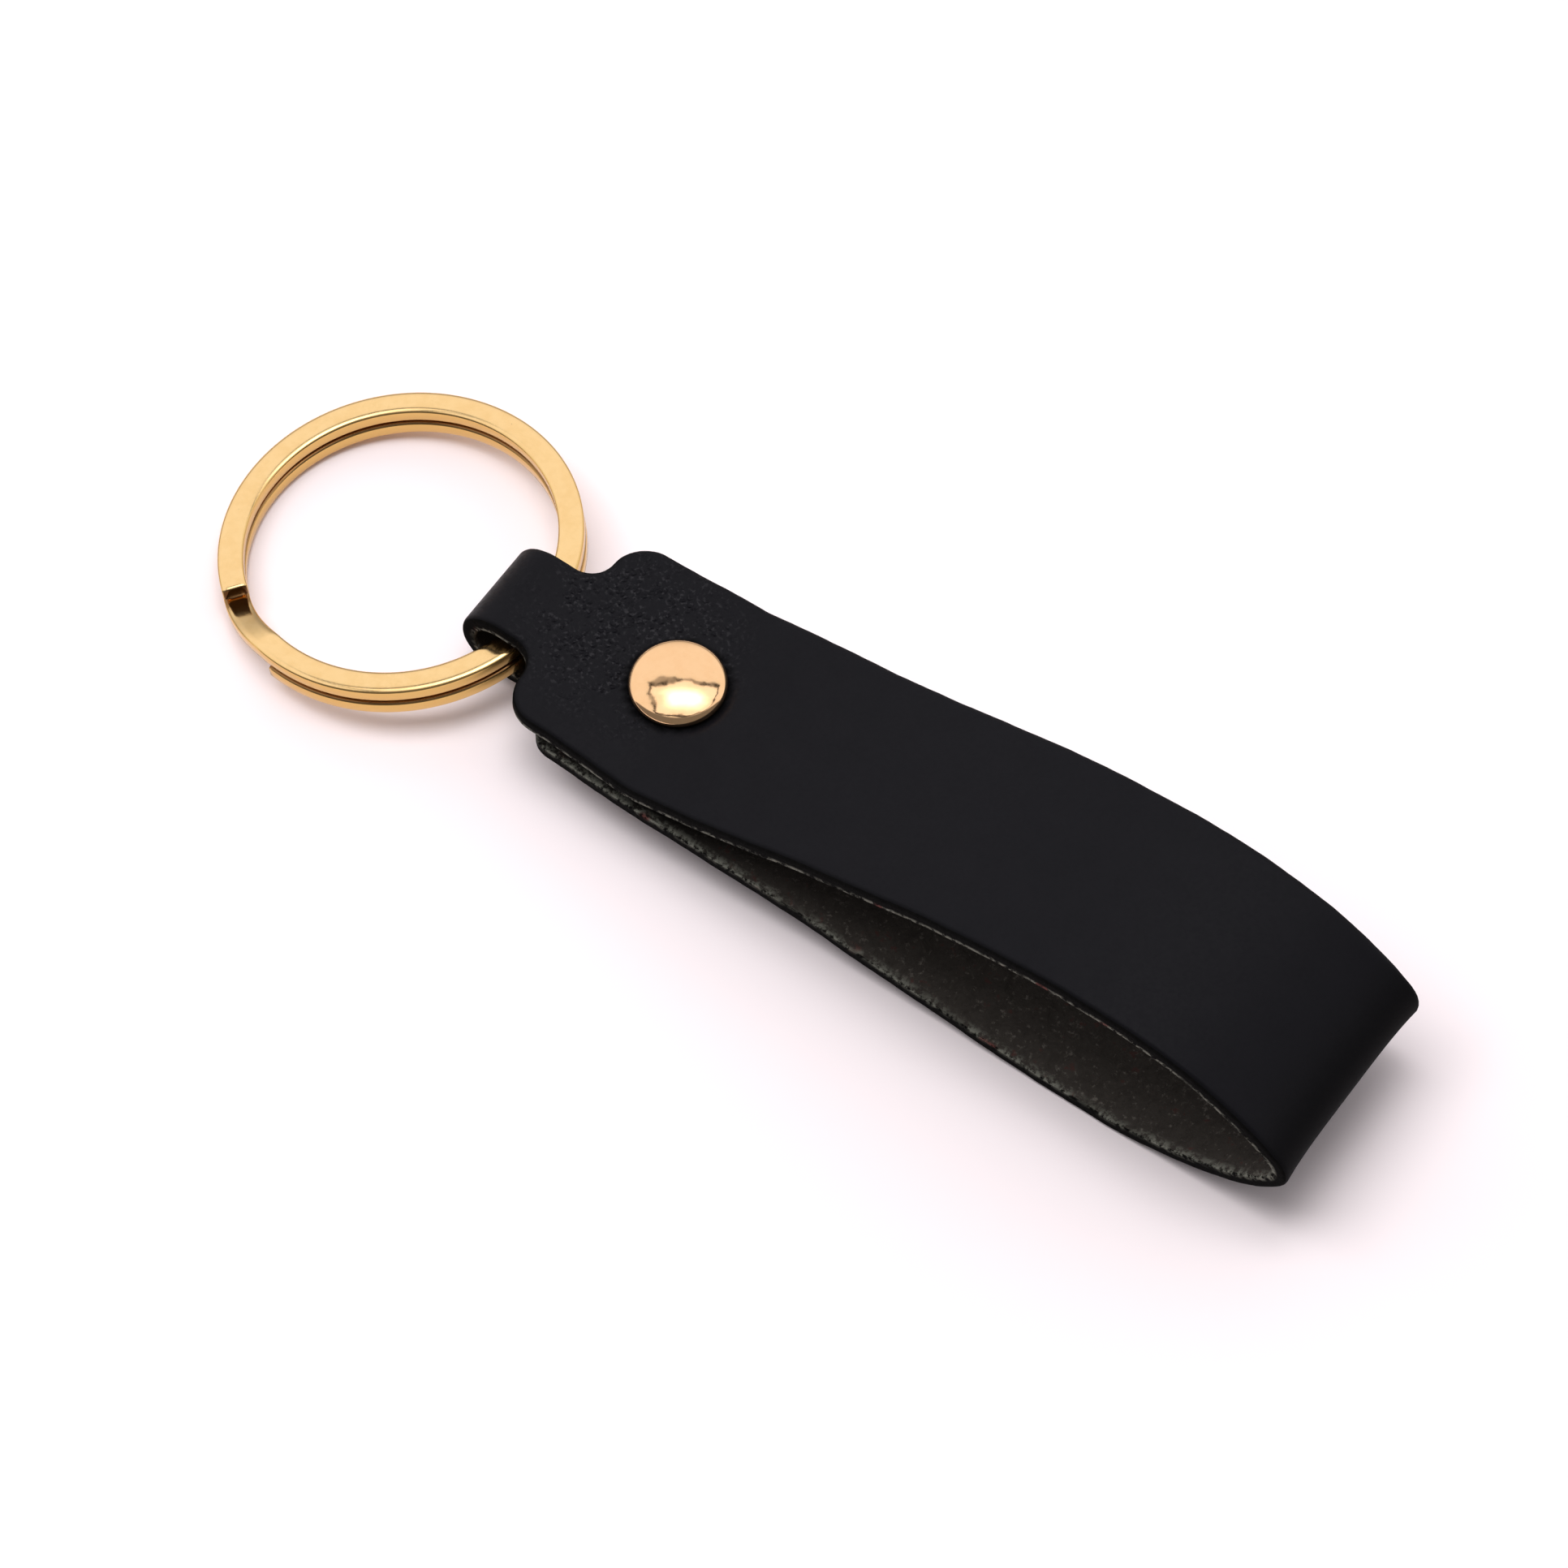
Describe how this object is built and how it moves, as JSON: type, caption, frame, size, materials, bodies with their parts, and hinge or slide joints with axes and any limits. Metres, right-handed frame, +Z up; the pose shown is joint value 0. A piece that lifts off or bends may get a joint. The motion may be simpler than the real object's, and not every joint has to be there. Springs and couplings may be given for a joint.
{
  "type": "wristlet keychain",
  "caption": "Flat leather strap folded into a finger loop, with a narrow neck wrapped round a flat metal split ring and held by a domed rivet.",
  "frame": {"origin": "middle of the footprint, on the surface the keychain lies on", "axes": "+X along the strap, from the split ring towards the fold of the finger loop; +Y across the strap; +Z up, out of the face with the top rivet cap"},
  "size_m": [0.1066, 0.03, 0.0174],
  "materials": {
    "leather": "black smooth-grain leather with a soft sheen and a darker cut edge",
    "ring_metal": "polished pale gold plating",
    "cap_metal": "polished rose-gold plating",
    "rivet_metal": "plain stamped brass, hidden in the leather"
  },
  "bodies": {
    "strap": {"strap": "leather", "rivet_top_cap": "cap_metal", "rivet_socket": "rivet_metal", "rivet_post": "rivet_metal", "rivet_base_cap": "cap_metal"},
    "ring": {"split_ring": "ring_metal"}
  },
  "joints": [
    {"name": "ring_swing", "type": "hinge", "parent": "strap", "child": "ring", "pos_m": [-0.02444, 0, 0.005], "axis": [0, 1, 0], "range_deg": [-120, 120]}
  ]
}
